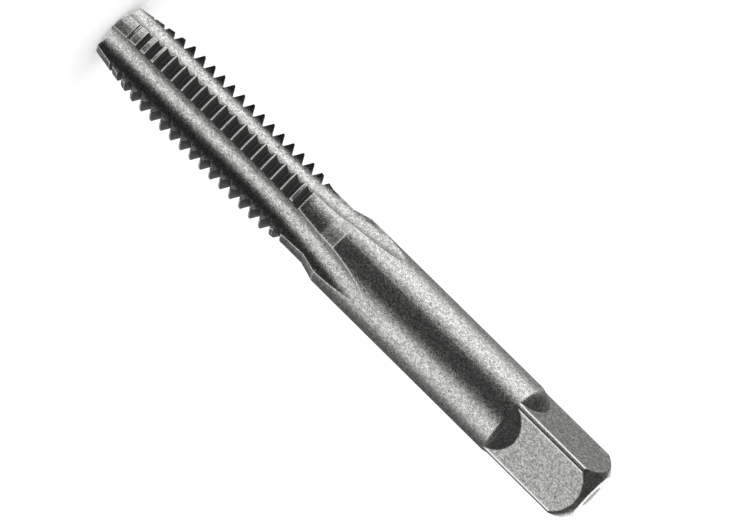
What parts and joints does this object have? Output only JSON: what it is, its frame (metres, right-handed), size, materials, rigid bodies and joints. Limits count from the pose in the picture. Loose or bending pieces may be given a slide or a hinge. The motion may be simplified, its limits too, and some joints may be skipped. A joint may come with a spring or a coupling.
{
  "type": "thread tap",
  "caption": "Straight-fluted hand tap that cuts a right-hand internal thread, with a chamfered point, a relieved neck, a round shank and a driving square.",
  "frame": {"origin": "middle of the flat face of the point, where the tap stands", "axes": "+Z along the tap from the point to the driving square; the lands of the thread lie on +X, +Y, -X and -Y"},
  "size_m": [0.0096, 0.0096, 0.075],
  "materials": {
    "tool_steel": "blasted satin, fine grain"
  },
  "bodies": {
    "root": {"thread_tap": "tool_steel"}
  },
  "joints": []
}
